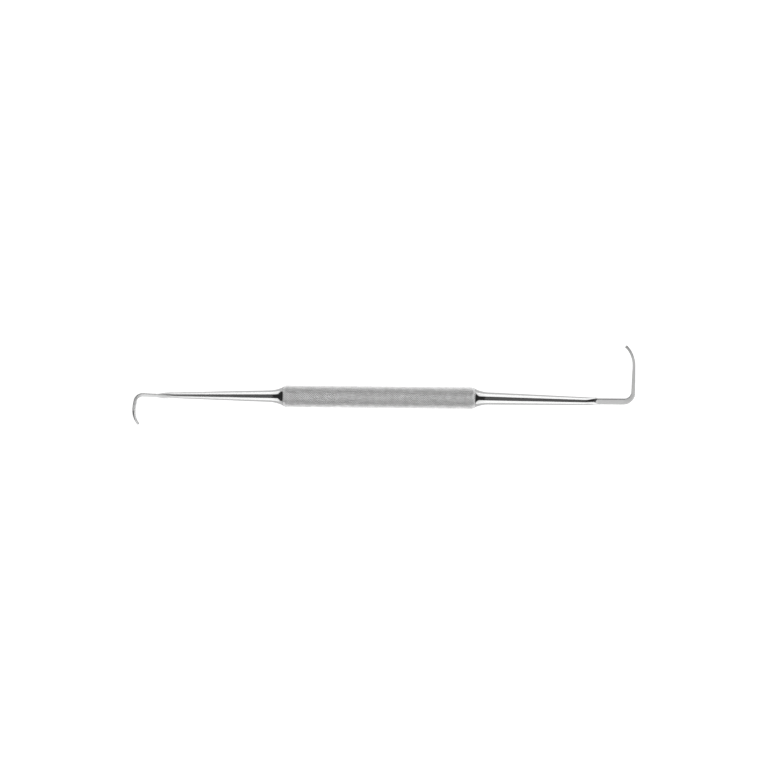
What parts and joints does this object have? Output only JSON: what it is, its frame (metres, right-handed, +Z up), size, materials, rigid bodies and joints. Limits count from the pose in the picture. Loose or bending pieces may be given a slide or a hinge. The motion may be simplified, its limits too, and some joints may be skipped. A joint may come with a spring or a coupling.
{
  "type": "dental explorer",
  "caption": "Double-ended dental explorer: a round knurled hollow steel handle with a long square hook at one end and a short rounded hook facing the other way at the other.",
  "frame": {"origin": "middle of the handle, on the handle's axis", "axes": "+X along the handle towards the long hook, +Z up from the table that the instrument lies on, +Y across, to the side that the long hook points to. It rests on its handle and on the tip of the short hook, so the plane of the two hooks leans 19 degrees from level about +X, with the long hook raised"},
  "size_m": [0.1725, 0.0287, 0.0102],
  "materials": {
    "knurled_steel": "fine diamond knurl, satin",
    "turned_steel": "as turned, hidden inside the handle",
    "polished_steel": "mirror polished shanks, satin ground flats on the hooks"
  },
  "bodies": {
    "explorer": {"handle_tube": "knurled_steel", "long_end_plug": "turned_steel", "short_end_plug": "turned_steel", "long_working_end": "polished_steel", "short_working_end": "polished_steel"}
  },
  "joints": []
}
